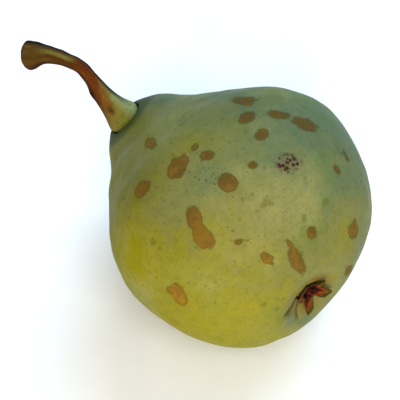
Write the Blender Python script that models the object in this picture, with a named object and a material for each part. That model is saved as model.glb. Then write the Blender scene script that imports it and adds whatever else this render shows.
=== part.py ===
"""A fresh pear as picked, lying on its side with its stem on.

It is made of three grown pieces: the fruit's body, the woody stem that stands in a hollow at the neck, and
the dried calyx that sits in the basin at the other end. +Z is up and the stem end points towards -X. The
origin is the middle of the flat spot that the pear rests on.
"""

import bmesh
import bpy
import numpy as np

MM = 0.001

# Driving dimensions
LENGTH = 72.0 * MM  # along the core line, from the calyx rim to the stem hollow
BELLY_RADIUS = 32.0 * MM
CALYX_AT = (30.3 * MM, -0.4 * MM, 31.0 * MM)  # start of the core line, in the middle of the calyx rim
GAP = 0.3 * MM  # clearance between neighbouring pieces

# Core line: it starts along CORE_AIM, swings to NECK_AIM and turns part of the way to STEM_AIM at the tip
CORE_AIM = (-0.995, 0.0, -0.105)
NECK_AIM = (-0.98, -0.114, 0.15)
STEM_AIM = (-0.53, -0.58, 0.62)
NECK_BEND = (0.35, 0.95)  # shares of LENGTH where the bend starts and ends
TIP_BEND = (0.78, 1.02)
TIP_SHARE = 0.45
CORE_RANGE = (-0.05, 1.02)
CORE_STEPS = 400

# Half outline from the calyx end to the neck: share of LENGTH, share of BELLY_RADIUS
OUTLINE = (
    (0.05, 0.533),
    (0.12, 0.743),
    (0.22, 0.897),
    (0.34, 0.977),
    (0.46, 1.0),
    (0.58, 0.922),
    (0.70, 0.744),
    (0.81, 0.55),
    (0.90, 0.385),
    (0.965, 0.265),
)
SPAN_SAMPLES = 40  # points worked out between two given ones where a curve is drawn through them

# Lobes of the cross-section: count, height as a share of the radius, direction of the first crest
LOBES = ((2, 0.032, np.radians(2.0)), (3, 0.025, np.radians(29.0)))
LOBES_FADE = (0.6, 0.95)
BELLY_SHIFT = 3.4 * MM  # the belly stands this far off the core line
BELLY_SHIFT_TOWARDS = np.radians(79.0)

# Swellings of the neck: a shoulder beside the stem and a full cheek. Distance short of LENGTH, reach along
# the core line, height and direction
SWELLINGS = (
    (4.0 * MM, 3.6 * MM, 1.0 * MM, np.radians(40.0)),
    (11.0 * MM, 11.0 * MM, 1.4 * MM, np.radians(191.0)),
)

# Calyx basin: depth below the rim and radius, from the socket's edge to past the rim
BASIN = (
    (2.6 * MM, 2.9 * MM),
    (1.5 * MM, 5.4 * MM),
    (0.4 * MM, 8.5 * MM),
    (0.5 * MM, 11.2 * MM),
    (1.5 * MM, 14.2 * MM),
)
CALYX_SOCKET_DEPTH = 5.0 * MM
CALYX_SOCKET_RADIUS = 2.9 * MM

# The rim falls away on one side: how far, towards where, and the band of radius and the shares of LENGTH
# that it covers
RIM_DIP = 2.0 * MM
RIM_DIP_TOWARDS = np.radians(295.0)
RIM_DIP_RADIUS = 15.0 * MM
RIM_DIP_WIDTH = 10.0 * MM
RIM_DIP_FROM = (3.0 * MM, 9.0 * MM)
RIM_DIP_FADE = (0.0, 0.3)

# Stem hollow: the lip's depth and radius, from outside to its inner edge, and the socket under it
STEM_LIP = ((0.7 * MM, 5.5 * MM), (0.5 * MM, 4.5 * MM))
STEM_SOCKET_DEPTH = 3.0 * MM
STEM_SOCKET_RADIUS = 4.6 * MM

# The hollow's mouth leans: its slope, the side it faces, and the radius and the shares of LENGTH over which
# it fades
MOUTH_LEAN = 0.48
MOUTH_LEAN_TOWARDS = np.radians(111.0)
MOUTH_LEAN_REACH = 9.0 * MM
MOUTH_LEAN_FADE = (0.6, 0.9)

BODY_ROWS = 60
BODY_COLUMNS = 64

# Stem: route as offsets from the middle of the hollow, and radius by distance along the stem
STEM_ROUTE = (
    (-2.1 * MM, -1.3 * MM, 2.5 * MM),
    (-5.3 * MM, -2.5 * MM, 5.5 * MM),
    (-7.9 * MM, -3.0 * MM, 7.7 * MM),
    (-12.6 * MM, -4.3 * MM, 10.9 * MM),
    (-17.1 * MM, -6.9 * MM, 12.0 * MM),
    (-20.2 * MM, -9.1 * MM, 12.0 * MM),
    (-24.2 * MM, -12.6 * MM, 10.4 * MM),
)
STEM_GIRTH = (
    (0.0 * MM, 3.7 * MM),
    (1.6 * MM, 4.0 * MM),
    (2.8 * MM, 4.2 * MM),
    (4.2 * MM, 3.9 * MM),
    (7.0 * MM, 3.05 * MM),
    (11.0 * MM, 2.35 * MM),
    (14.0 * MM, 1.95 * MM),
    (19.0 * MM, 1.85 * MM),
    (25.0 * MM, 2.0 * MM),
    (29.0 * MM, 2.7 * MM),
    (32.5 * MM, 3.75 * MM),
    (34.0 * MM, 3.9 * MM),
)
GIRTH_SAMPLES = 200
STEM_END = ((0.0, 0.9), (0.0, 0.6), (0.3 * MM, 0.0))  # cut face: depth of its dish, share of the end's radius
KNUCKLE_AT = 12.0 * MM  # bud scar: distance along the stem, half length, height and side
KNUCKLE_REACH = 1.8 * MM
KNUCKLE_HEIGHT = 0.7 * MM
KNUCKLE_AIM = (0.16, -0.87, -0.47)
STEM_SIDE = (0.47, -0.35, 0.81)  # a direction that the stem never runs along
STEM_FOOT = 0.9 * MM  # height of the stem's foot over the floor of its socket
STEM_FOOT_TURN = (1.5 * MM, 6.0 * MM)  # run over which the sections turn from the mouth's aim to the stem's
STEM_ROWS = 46
STEM_COLUMNS = 18

# Calyx: a short cup with dried sepals round its rim, each with its direction, reach and rise above the rim
CUP_HOLLOW = ((3.4 * MM, 0.0), (3.3 * MM, 1.1 * MM), (2.4 * MM, 1.5 * MM))  # depth, radius, middle first
CUP_RIM_DEPTH = 1.7 * MM
CUP_RIM_RADIUS = 1.8 * MM
CUP_OUTER_RADIUS = 2.5 * MM
SEPALS = (
    (0.69, 4.9 * MM, 1.5 * MM),
    (1.95, 4.4 * MM, 0.9 * MM),
    (3.10, 4.3 * MM, 0.8 * MM),
    (4.35, 5.8 * MM, 1.8 * MM),
    (5.87, 6.3 * MM, 1.6 * MM),
)
SEPAL_THICKNESS = 0.6 * MM
SEPAL_HALF_ANGLE = 0.6
SEPAL_TAPER = 0.9  # power of the blade's outline: under 1 is fuller than a straight point
SEPAL_CURL = 1.6  # power of its rise: over 1 curls it up towards the tip
SEPAL_ROWS = 6
CALYX_COLUMNS = 70

SHARP_ANGLE = np.radians(40.0)  # edges sharper than this stay crisp

# Finishes: colour and roughness
SKIN_FINISH = ((0.30, 0.33, 0.08), 0.45)
STEM_FINISH = ((0.13, 0.07, 0.02), 0.7)
CALYX_FINISH = ((0.08, 0.03, 0.015), 0.8)


def unit(vectors):
    vectors = np.asarray(vectors, float)
    return vectors / np.linalg.norm(vectors, axis=-1, keepdims=True)


def ease(value, start, end):
    """0 before start, 1 after end, and a smooth step between them."""
    share = np.clip((value - start) / (end - start), 0.0, 1.0)
    return share * share * (3.0 - 2.0 * share)


def bell(value, reach):
    """1 at 0, falling smoothly to near 0 at twice the reach."""
    return np.exp(-((value / reach) ** 2))


def one_sided(around, towards):
    """1 in the direction towards, falling to 0 a quarter turn from it."""
    return np.clip(np.cos(around - towards), 0.0, None) ** 2


def smooth_through(points, count):
    """Evenly spaced points on a centripetal Catmull-Rom curve through the points given."""
    points = np.asarray(points, float)
    padded = np.vstack([2 * points[0] - points[1], points, 2 * points[-1] - points[-2]])
    pieces = []
    for before, start, end, after in zip(padded, padded[1:], padded[2:], padded[3:]):
        knots = np.cumsum([0.0] + [np.linalg.norm(b - a) ** 0.5 for a, b in
                                   ((before, start), (start, end), (end, after))])
        at = np.linspace(knots[1], knots[2], SPAN_SAMPLES, endpoint=False)[:, None]
        first = (before * (knots[1] - at) + start * (at - knots[0])) / (knots[1] - knots[0])
        middle = (start * (knots[2] - at) + end * (at - knots[1])) / (knots[2] - knots[1])
        last = (end * (knots[3] - at) + after * (at - knots[2])) / (knots[3] - knots[2])
        early = (first * (knots[2] - at) + middle * (at - knots[0])) / (knots[2] - knots[0])
        late = (middle * (knots[3] - at) + last * (at - knots[1])) / (knots[3] - knots[1])
        pieces.append((early * (knots[2] - at) + late * (at - knots[1])) / (knots[2] - knots[1]))
    curve = np.vstack(pieces + [points[-1:]])
    run = run_along(curve)
    return sample(np.linspace(0.0, run[-1], count), run, curve)


def run_along(points):
    """Distance from the first point to each point, along the line through them."""
    return np.concatenate([[0.0], np.cumsum(np.linalg.norm(np.diff(points, axis=0), axis=1))])


def sample(at, run, field):
    """The rows of field, given at the distances run, read at the distances at."""
    return np.stack([np.interp(at, run, column) for column in field.T], axis=-1)


def core_line():
    """Distances along the core line, with its points there and its aim, sideways and upward directions."""
    run = np.linspace(CORE_RANGE[0] * LENGTH, CORE_RANGE[1] * LENGTH, CORE_STEPS)
    share = run[:, None] / LENGTH
    core, neck, stem = unit((CORE_AIM, NECK_AIM, STEM_AIM))
    aim = core + (neck - core) * ease(share, *NECK_BEND) + TIP_SHARE * (stem - neck) * ease(share, *TIP_BEND)
    aim = unit(aim)
    steps = (aim[1:] + aim[:-1]) / 2.0 * np.diff(run)[:, None]
    points = np.vstack([np.zeros(3), np.cumsum(steps, axis=0)])
    points += np.array(CALYX_AT) - sample(0.0, run, points)
    sideways = unit(np.array([0.0, 1.0, 0.0]) - aim[:, 1:2] * aim)
    upward = np.cross(-aim, sideways)
    return run, points, aim, sideways, upward


CORE = core_line()


def placed(along, radius, around):
    """World points of a ring round the core line, with the belly's shift and the lean of the stem's mouth."""
    run, points, _, sideways, upward = CORE
    lean = MOUTH_LEAN * bell(radius, MOUTH_LEAN_REACH) * ease(along / LENGTH, *MOUTH_LEAN_FADE)
    along = along - lean * radius * np.cos(around - MOUTH_LEAN_TOWARDS)
    hump = BELLY_SHIFT * np.sin(np.pi * np.clip(along / LENGTH, 0.0, 1.0))
    side = radius * np.cos(around) + hump * np.cos(BELLY_SHIFT_TOWARDS)
    up = radius * np.sin(around) + hump * np.sin(BELLY_SHIFT_TOWARDS)
    side, up, along = np.broadcast_arrays(side, up, along)
    centre, sideways, upward = (sample(along, run, field) for field in (points, sideways, upward))
    return centre + sideways * side[..., None] + upward * up[..., None]


def mouth_aim():
    """The direction that the leaning mouth of the stem's hollow faces."""
    run, _, *fields = CORE
    aim, sideways, upward = (sample(LENGTH, run, field) for field in fields)
    facing = sideways * np.cos(MOUTH_LEAN_TOWARDS) + upward * np.sin(MOUTH_LEAN_TOWARDS)
    return unit(aim + MOUTH_LEAN * bell(STEM_SOCKET_RADIUS, MOUTH_LEAN_REACH) * facing)


def closed_mesh(rings, first_pole, last_pole):
    """A bmesh skinned over rings of equal count, closed by a fan of faces at each pole."""
    shape = bmesh.new()
    rows = [[shape.verts.new(point) for point in ring] for ring in rings]
    poles = [shape.verts.new(first_pole), shape.verts.new(last_pole)]
    columns = len(rows[0])
    for column in range(columns):
        after = (column + 1) % columns
        shape.faces.new((poles[0], rows[0][after], rows[0][column]))
        shape.faces.new((poles[1], rows[-1][column], rows[-1][after]))
        for low, high in zip(rows, rows[1:]):
            shape.faces.new((low[column], low[after], high[after], high[column]))
    bmesh.ops.recalc_face_normals(shape, faces=shape.faces)
    return shape


def finished(name, shape, material):
    """The object made from a bmesh, with smooth shading and its material."""
    mesh = bpy.data.meshes.new(name)
    shape.to_mesh(mesh)
    shape.free()
    mesh.shade_smooth()
    mesh.set_sharp_from_angle(angle=SHARP_ANGLE)
    mesh.materials.append(material)
    made = bpy.data.objects.new(name, mesh)
    bpy.context.scene.collection.objects.link(made)
    return made


def natural_material(name, colour, roughness):
    material = bpy.data.materials.new(name)
    material.use_nodes = True
    shader = material.node_tree.nodes["Principled BSDF"]
    shader.inputs["Base Color"].default_value = (*colour, 1.0)
    shader.inputs["Roughness"].default_value = roughness
    shader.inputs["Metallic"].default_value = 0.0
    return material


def make_body():
    """The fruit: one solid with a basin at the calyx end, a hollow at the neck and a flat spot to rest on."""
    outline = [(share * LENGTH, radius * BELLY_RADIUS) for share, radius in OUTLINE]
    lip = [(LENGTH - depth, radius) for depth, radius in STEM_LIP]
    skin = smooth_through([*BASIN, *outline, *lip], BODY_ROWS)
    calyx_socket = [(CALYX_SOCKET_DEPTH, CALYX_SOCKET_RADIUS)]
    stem_socket = [(LENGTH - STEM_SOCKET_DEPTH, STEM_SOCKET_RADIUS)]
    along, radius = np.vstack([calyx_socket, skin, stem_socket]).T[:, :, None]
    around = np.linspace(0.0, 2.0 * np.pi, BODY_COLUMNS, endpoint=False)
    lobes = sum(height * np.cos(count * (around - crest)) for count, height, crest in LOBES)
    full = radius * (1.0 + lobes * (1.0 - ease(along / LENGTH, *LOBES_FADE)))
    for short_of_end, reach, height, towards in SWELLINGS:
        full = full + height * bell(along - LENGTH + short_of_end, reach) * one_sided(around, towards)
    dip = RIM_DIP * bell(radius - RIM_DIP_RADIUS, RIM_DIP_WIDTH) * ease(radius, *RIM_DIP_FROM)
    dip = dip * (1.0 - ease(along / LENGTH, *RIM_DIP_FADE)) * one_sided(around, RIM_DIP_TOWARDS)
    rings = placed(along + dip, full, around)
    first_pole = placed(CALYX_SOCKET_DEPTH, 0.0, 0.0)
    last_pole = placed(LENGTH - STEM_SOCKET_DEPTH, 0.0, 0.0)
    shape = closed_mesh(rings, first_pole, last_pole)
    everything = [*shape.verts, *shape.edges, *shape.faces]
    bmesh.ops.bisect_plane(shape, geom=everything, plane_co=(0, 0, 0), plane_no=(0, 0, 1), clear_inner=True)
    bmesh.ops.holes_fill(shape, edges=[edge for edge in shape.edges if edge.is_boundary])
    bmesh.ops.recalc_face_normals(shape, faces=shape.faces)
    return finished("body", shape, natural_material("pear skin", *SKIN_FINISH))


def make_stem():
    """The stem: a round section carried along its route, fleshy at the foot and flared where it broke off."""
    foot = placed(LENGTH - STEM_SOCKET_DEPTH + STEM_FOOT, 0.0, 0.0)
    seat = placed(LENGTH - STEM_LIP[-1][0], 0.0, 0.0)
    route = smooth_through([foot, seat, *(seat + np.array(STEM_ROUTE))], STEM_ROWS)
    run = run_along(route)
    aim = unit(np.gradient(route, axis=0))
    aim = unit(mouth_aim() + (aim - mouth_aim()) * ease(run, *STEM_FOOT_TURN)[:, None])
    side = unit(STEM_SIDE - (aim @ np.array(STEM_SIDE))[:, None] * aim)
    other = np.cross(aim, side)
    around = np.linspace(0.0, 2.0 * np.pi, STEM_COLUMNS, endpoint=False)[None, :, None]
    outward = side[:, None] * np.cos(around) + other[:, None] * np.sin(around)
    girth = smooth_through(STEM_GIRTH, GIRTH_SAMPLES)
    radius = np.interp(run, girth[:, 0] * run[-1] / girth[-1, 0], girth[:, 1])[:, None]
    facing = np.clip(outward @ unit(KNUCKLE_AIM), 0.0, None)
    radius = radius + KNUCKLE_HEIGHT * facing**2 * bell(run[:, None] - KNUCKLE_AT, KNUCKLE_REACH)
    rings = list(route[:, None] + outward * radius[..., None])
    end = radius[-1, 0]
    for dish, share in STEM_END[:-1]:
        rings.append(route[-1] - aim[-1] * dish + outward[-1] * end * share)
    last_pole = route[-1] - aim[-1] * STEM_END[-1][0]
    shape = closed_mesh(rings, foot, last_pole)
    return finished("stem", shape, natural_material("stem bark", *STEM_FINISH))


def make_calyx():
    """The calyx: a cup with five dried sepals, as one surface over rings round the cup's middle."""
    around = np.linspace(0.0, 2.0 * np.pi, CALYX_COLUMNS, endpoint=False)
    reach = np.full(CALYX_COLUMNS, CUP_OUTER_RADIUS)
    rise = np.zeros(CALYX_COLUMNS)
    for towards, length, lift in SEPALS:
        off = np.abs((around - towards + np.pi) % (2.0 * np.pi) - np.pi) / SEPAL_HALF_ANGLE
        blade = np.clip(1.0 - off, 0.0, None)
        reach = np.maximum(reach, CUP_OUTER_RADIUS + (length - CUP_OUTER_RADIUS) * blade**SEPAL_TAPER)
        rise = np.maximum(rise, lift * np.minimum(1.0, 2.0 * blade))
    rings = [placed(depth, radius, around) for depth, radius in CUP_HOLLOW[1:]]
    shares = np.linspace(0.0, 1.0, SEPAL_ROWS)
    for share in shares:
        radius = CUP_RIM_RADIUS + (reach - CUP_RIM_RADIUS) * share
        rings.append(placed(CUP_RIM_DEPTH - rise * share**SEPAL_CURL, radius, around))
    for share in shares[:0:-1]:
        radius = np.maximum(CUP_RIM_RADIUS + (reach - CUP_RIM_RADIUS) * share, CUP_OUTER_RADIUS)
        rings.append(placed(CUP_RIM_DEPTH - rise * share**SEPAL_CURL + SEPAL_THICKNESS, radius, around))
    foot_depth = CALYX_SOCKET_DEPTH - GAP
    rings.append(placed(foot_depth, CUP_OUTER_RADIUS, around))
    shape = closed_mesh(rings, placed(CUP_HOLLOW[0][0], 0.0, 0.0), placed(foot_depth, 0.0, 0.0))
    return finished("calyx", shape, natural_material("dried calyx", *CALYX_FINISH))


for old in list(bpy.data.objects):
    bpy.data.objects.remove(old)
make_body()
make_stem()
make_calyx()
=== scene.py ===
"""The look of a fresh pear lying on its side: waxy skin with dots and russet, woody stem, dried calyx."""

import bpy
import numpy as np
from mathutils import Matrix


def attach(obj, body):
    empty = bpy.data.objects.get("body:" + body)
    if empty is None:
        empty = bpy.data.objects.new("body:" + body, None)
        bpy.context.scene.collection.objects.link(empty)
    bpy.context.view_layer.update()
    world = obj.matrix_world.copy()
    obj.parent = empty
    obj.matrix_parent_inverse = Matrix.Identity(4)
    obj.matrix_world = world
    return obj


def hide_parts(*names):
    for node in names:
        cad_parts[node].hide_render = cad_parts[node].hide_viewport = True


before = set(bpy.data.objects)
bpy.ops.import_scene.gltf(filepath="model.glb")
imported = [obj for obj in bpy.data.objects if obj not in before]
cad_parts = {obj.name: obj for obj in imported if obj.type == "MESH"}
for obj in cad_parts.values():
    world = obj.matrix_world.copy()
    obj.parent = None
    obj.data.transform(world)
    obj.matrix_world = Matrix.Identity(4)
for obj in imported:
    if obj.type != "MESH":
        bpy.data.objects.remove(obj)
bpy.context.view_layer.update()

MM = 0.001

# Camera
# It looks from the photograph's angle, above and beside the calyx end, through a longer lens, so that this
# pear fills the picture. RIGHT, UP and BACK are the picture's own directions in the world.
AZIMUTH = np.radians(53.1)
ELEVATION = np.radians(54.0)
DISTANCE = 450.0 * MM
PICTURE = 400  # pixels across
SENSOR = 36.0  # the width of the camera's sensor, in millimetres
NEAREST = 10.0 * MM
PHOTO_SCALE = 1.737 / MM  # photograph pixels a metre at the pear's middle
PHOTO_POINT = np.array([-7.5, 0.8, 30.3]) * MM  # a point in the body, and the photograph pixel that shows it
PHOTO_MIDDLE = np.array([265.4, 90.6])
FRAMING_MIDDLE = np.array([256.5, 93.5])  # the photograph pixel at the middle of this picture
CLOSER = 2.35  # how much larger this picture shows the pear than the photograph does

RIGHT = np.array([np.cos(AZIMUTH), np.sin(AZIMUTH), 0.0])
BACK = np.array([
    np.sin(AZIMUTH) * np.cos(ELEVATION), -np.cos(AZIMUTH) * np.cos(ELEVATION), np.sin(ELEVATION),
])
UP = np.cross(BACK, RIGHT)
shift = (FRAMING_MIDDLE - PHOTO_MIDDLE) / PHOTO_SCALE
aim_point = PHOTO_POINT + RIGHT * shift[0] - UP * shift[1]


def turned_to(back):
    """Rotation whose local Z is back, with local X level."""
    level = np.cross((0.0, 0.0, 1.0), back)
    level = level / np.linalg.norm(level)
    return Matrix(np.stack([level, np.cross(back, level), back], axis=1)).to_euler()


camera_data = bpy.data.cameras.new("camera")
camera_data.sensor_width = SENSOR
camera_data.lens = PHOTO_SCALE * CLOSER * DISTANCE / PICTURE * SENSOR
camera_data.clip_start = NEAREST
camera = bpy.data.objects.new("camera", camera_data)
camera.location = aim_point + BACK * DISTANCE
camera.rotation_euler = turned_to(BACK)
bpy.context.scene.collection.objects.link(camera)
bpy.context.scene.camera = camera

# Body
# The fruit itself: firm flesh under a waxy skin, which grew as one piece. It is widest near the calyx end,
# bends a little at the neck, and its skin is pressed flat where it rests.
LENGTH = 72.0 * MM
BELLY_RADIUS = 32.0 * MM
CALYX_AT = (30.3 * MM, -0.4 * MM, 31.0 * MM)
CORE_AIM = (-0.995, 0.0, -0.105)
NECK_AIM = (-0.98, -0.114, 0.15)
STEM_AIM = (-0.53, -0.58, 0.62)
NECK_BEND = (0.35, 0.95)  # shares of the length between which the core bends
TIP_BEND = (0.78, 1.02)
TIP_SHARE = 0.45
CORE_REACH = (-0.05, 1.02)
CORE_STEPS = 400
OUTLINE = (  # share of the length, share of the belly's radius
    (0.05, 0.533), (0.12, 0.743), (0.22, 0.897), (0.34, 0.977), (0.46, 1.0),
    (0.58, 0.922), (0.70, 0.744), (0.81, 0.55), (0.90, 0.385), (0.965, 0.265),
)
LOBES = ((2, 0.032, np.radians(2.0)), (3, 0.025, np.radians(29.0)))  # how many, how high, the first crest
LOBES_FADE = (0.6, 0.95)
BELLY_SHIFT = 3.4 * MM
BELLY_SHIFT_TOWARDS = np.radians(79.0)
SWELLINGS = (  # distance short of the stem end, reach along the core, height, direction around it
    (4.0 * MM, 3.6 * MM, 1.0 * MM, np.radians(40.0)),
    (11.0 * MM, 11.0 * MM, 1.4 * MM, np.radians(191.0)),
)
BASIN = (  # distance along the core and radius, from the bottom of the calyx's seat to the rim
    (3.8 * MM, 0.0), (3.7 * MM, 1.9 * MM), (2.1 * MM, 2.8 * MM), (1.4 * MM, 5.4 * MM), (0.4 * MM, 8.5 * MM),
    (0.5 * MM, 11.2 * MM), (1.5 * MM, 14.2 * MM),
)
RIM_DIP = 2.0 * MM
RIM_DIP_TOWARDS = np.radians(295.0)
RIM_DIP_RADIUS = 15.0 * MM
RIM_DIP_REACH = 10.0 * MM
RIM_DIP_START = (3.0 * MM, 9.0 * MM)
RIM_DIP_FADE = (0.0, 0.3)
STEM_LIP = (  # depth below the stem end and radius, from the lip down into the stem's hollow
    (0.7 * MM, 5.5 * MM), (0.55 * MM, 4.6 * MM), (1.2 * MM, 4.0 * MM), (2.4 * MM, 3.6 * MM), (2.8 * MM, 0.0),
)
MOUTH_LEAN = 0.48
MOUTH_LEAN_TOWARDS = np.radians(111.0)
MOUTH_LEAN_REACH = 9.0 * MM
MOUTH_LEAN_FADE = (0.6, 0.9)
CURVE_STEPS = 60
BODY_ROWS = 250
BODY_COLUMNS = 350


def unit(vectors):
    """Vectors divided by their lengths."""
    vectors = np.asarray(vectors, float)
    return vectors / np.linalg.norm(vectors, axis=-1, keepdims=True)


def ease(value, start, end):
    """0 before start, 1 after end, and a smooth step between them."""
    share = np.clip((value - start) / (end - start), 0.0, 1.0)
    return share * share * (3.0 - 2.0 * share)


def bell(value, reach):
    """1 at 0, falling smoothly to near 0 at twice the reach."""
    return np.exp(-((value / reach) ** 2))


def one_sided(around, towards):
    """1 in the direction towards, falling to 0 a quarter turn from it."""
    return np.clip(np.cos(around - towards), 0.0, None) ** 2


def run_along(points):
    """Distance from the first point to each point, along the line through them."""
    return np.concatenate([[0.0], np.cumsum(np.linalg.norm(np.diff(points, axis=0), axis=1))])


def sample(at, run, field):
    """The rows of field, given at the distances run, read at the distances at."""
    return np.stack([np.interp(at, run, column) for column in field.T], axis=-1)


def smooth_through(points, count):
    """Evenly spaced points on a centripetal Catmull-Rom curve through the points given."""
    points = np.asarray(points, float)
    padded = np.vstack([2 * points[0] - points[1], points, 2 * points[-1] - points[-2]])
    pieces = []
    for before, start, end, after in zip(padded, padded[1:], padded[2:], padded[3:]):
        steps = [np.linalg.norm(b - a) ** 0.5 for a, b in ((before, start), (start, end), (end, after))]
        knots = np.cumsum([0.0] + steps)
        at = np.linspace(knots[1], knots[2], CURVE_STEPS, endpoint=False)[:, None]
        first = (before * (knots[1] - at) + start * (at - knots[0])) / (knots[1] - knots[0])
        middle = (start * (knots[2] - at) + end * (at - knots[1])) / (knots[2] - knots[1])
        last = (end * (knots[3] - at) + after * (at - knots[2])) / (knots[3] - knots[2])
        early = (first * (knots[2] - at) + middle * (at - knots[0])) / (knots[2] - knots[0])
        late = (middle * (knots[3] - at) + last * (at - knots[1])) / (knots[3] - knots[1])
        pieces.append((early * (knots[2] - at) + late * (at - knots[1])) / (knots[2] - knots[1]))
    curve = np.vstack(pieces + [points[-1:]])
    run = run_along(curve)
    return sample(np.linspace(0.0, run[-1], count), run, curve)


def core_line():
    """The fruit's core: its aim swings from CORE_AIM to NECK_AIM, then part of the way to STEM_AIM, by smooth
    steps. It gives the distances along the core, its points, its aim and the two directions square to
    that."""
    run = np.linspace(CORE_REACH[0] * LENGTH, CORE_REACH[1] * LENGTH, CORE_STEPS)
    share = run[:, None] / LENGTH
    core, neck, stem = unit((CORE_AIM, NECK_AIM, STEM_AIM))
    bend = (neck - core) * ease(share, *NECK_BEND)
    aim = unit(core + bend + TIP_SHARE * (stem - neck) * ease(share, *TIP_BEND))
    points = np.vstack([np.zeros(3), np.cumsum((aim[1:] + aim[:-1]) / 2.0 * np.diff(run)[:, None], axis=0)])
    points += np.array(CALYX_AT) - sample(0.0, run, points)
    sideways = unit(np.array([0.0, 1.0, 0.0]) - aim[:, 1:2] * aim)
    return run, points, aim, sideways, np.cross(-aim, sideways)


CORE = core_line()


def placed(along, radius, around):
    """World points at a distance along the core, off it by radius in the direction around, plus the belly's
    shift and the lean of the stem's mouth."""
    run, points, _, *sides = CORE
    lean = MOUTH_LEAN * bell(radius, MOUTH_LEAN_REACH) * ease(along / LENGTH, *MOUTH_LEAN_FADE)
    along = along - lean * radius * np.cos(around - MOUTH_LEAN_TOWARDS)
    hump = BELLY_SHIFT * np.sin(np.pi * np.clip(along / LENGTH, 0.0, 1.0))
    side = radius * np.cos(around) + hump * np.cos(BELLY_SHIFT_TOWARDS)
    up = radius * np.sin(around) + hump * np.sin(BELLY_SHIFT_TOWARDS)
    side, up, along = np.broadcast_arrays(side, up, along)
    centre, sideways, upward = (sample(along, run, field) for field in (points, *sides))
    return centre + sideways * side[..., None] + upward * up[..., None]


def skinned(name, grid, values):
    """A closed mesh over a grid of rings whose first and last rows are poles, with named values at its
    points. Its faces are turned to point away from its middle, by the sign of the volume that they
    enclose."""
    rows, columns = grid.shape[:2]
    inner = grid[1:-1].reshape(-1, 3)
    points = np.vstack([grid[0, :1], inner, grid[-1, :1]])
    index = 1 + np.arange((rows - 2) * columns).reshape(rows - 2, columns)
    after = np.roll(index, -1, axis=1)
    quads = np.stack([index[:-1], after[:-1], after[1:], index[1:]], axis=-1).reshape(-1, 4)
    first = np.stack([after[0], index[0], np.zeros(columns, int)], axis=-1)
    last = np.stack([index[-1], after[-1], np.full(columns, len(points) - 1)], axis=-1)
    mesh = bpy.data.meshes.new(name)
    mesh.from_pydata(points, [], [*quads.tolist(), *first.tolist(), *last.tolist()])
    for label, field in values.items():
        field = np.broadcast_to(field, (rows, columns))
        flat = np.concatenate([field[0, :1], field[1:-1].ravel(), field[-1, :1]]).astype(np.float32)
        mesh.attributes.new(label, "FLOAT", "POINT").data.foreach_set("value", flat)
    mesh.shade_smooth()
    piece = bpy.data.objects.new(name, mesh)
    bpy.context.scene.collection.objects.link(piece)
    corners = points[quads[:, :3]]
    outward = np.cross(corners[:, 1] - corners[:, 0], corners[:, 2] - corners[:, 0])
    if (outward * (corners[:, 0] - points.mean(axis=0))).sum() < 0.0:
        mesh.flip_normals()
    return piece


def waves(points, seed, length, count=24):
    """A smooth random field between about -1 and 1: a sum of plane waves of about the length given."""
    draw = np.random.default_rng(seed)
    heading = unit(draw.normal(size=(count, 3))) * 2.0 * np.pi / (length * draw.uniform(0.7, 1.5, (count, 1)))
    phase = draw.uniform(0.0, 2.0 * np.pi, count)
    return np.sin(points @ heading.T + phase).sum(axis=-1) / np.sqrt(count)


outline = [(share * LENGTH, radius * BELLY_RADIUS) for share, radius in OUTLINE]
lip = [(LENGTH - depth, radius) for depth, radius in STEM_LIP]
skin_line = smooth_through([*BASIN, *outline, *lip], BODY_ROWS)
along, radius = skin_line.T[:, :, None]
radius = np.clip(radius, 0.0, None)
around = np.linspace(0.0, 2.0 * np.pi, BODY_COLUMNS, endpoint=False)
lobes = sum(height * np.cos(count * (around - crest)) for count, height, crest in LOBES)
rings = radius * (1.0 + lobes * (1.0 - ease(along / LENGTH, *LOBES_FADE)))
for short_of_end, reach, height, towards in SWELLINGS:
    rings = rings + height * bell(along - LENGTH + short_of_end, reach) * one_sided(around, towards)
dip = RIM_DIP * bell(radius - RIM_DIP_RADIUS, RIM_DIP_REACH) * ease(radius, *RIM_DIP_START)
dip = dip * (1.0 - ease(along / LENGTH, *RIM_DIP_FADE)) * one_sided(around, RIM_DIP_TOWARDS)
rings = np.where(radius > 0.0, rings, 0.0)
plain = placed(along + dip, rings, around)

# The skin's low relief: slow and quick ripples, and two folds beside the calyx, laid along photograph pixels.
RIPPLES = ((3, 17.0 * MM, 0.10 * MM), (4, 6.0 * MM, 0.05 * MM))  # seed, length, height
RIPPLES_SUNK = 0.2 * MM  # keeps the ripples under the plain surface
RIPPLES_START = (4.0 * MM, 10.0 * MM)
SEEN_SLANT = 0.03  # the skin counts as seen while its slant to the camera has a cosine above this
POLE_GUARD = 1e-15  # keeps the poles, where the rings have no size, from a division by 0
CREASE = np.array([(299.2, 133.6), (296.6, 138.2), (293.4, 142.9), (289.8, 147.4)])
CREASE_DEPTH = 0.8 * MM
FOLD = np.array([(298.6, 136.6), (297.8, 139.6), (298.0, 143.0), (299.4, 146.6)])
FOLD_DEPTH = 0.45 * MM
CREASE_WIDTH = 0.5 * MM
CREASE_WANDER = 3.0 * MM
CREASE_REACH = 0.25
LIP_BESIDE = 0.9 * MM
LIP_WIDTH = 0.6 * MM
FOLD_SHADE = 0.8  # how dark the second fold is beside the first


def photo_pixels(points):
    """The photograph pixel of each point: its place across and up the picture, and smaller the farther it
    lies, as through a lens."""
    off = points - PHOTO_POINT
    scale = PHOTO_SCALE * DISTANCE / (DISTANCE - off @ BACK)
    return np.stack([PHOTO_MIDDLE[0] + scale * (off @ RIGHT), PHOTO_MIDDLE[1] - scale * (off @ UP)], axis=-1)


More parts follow.
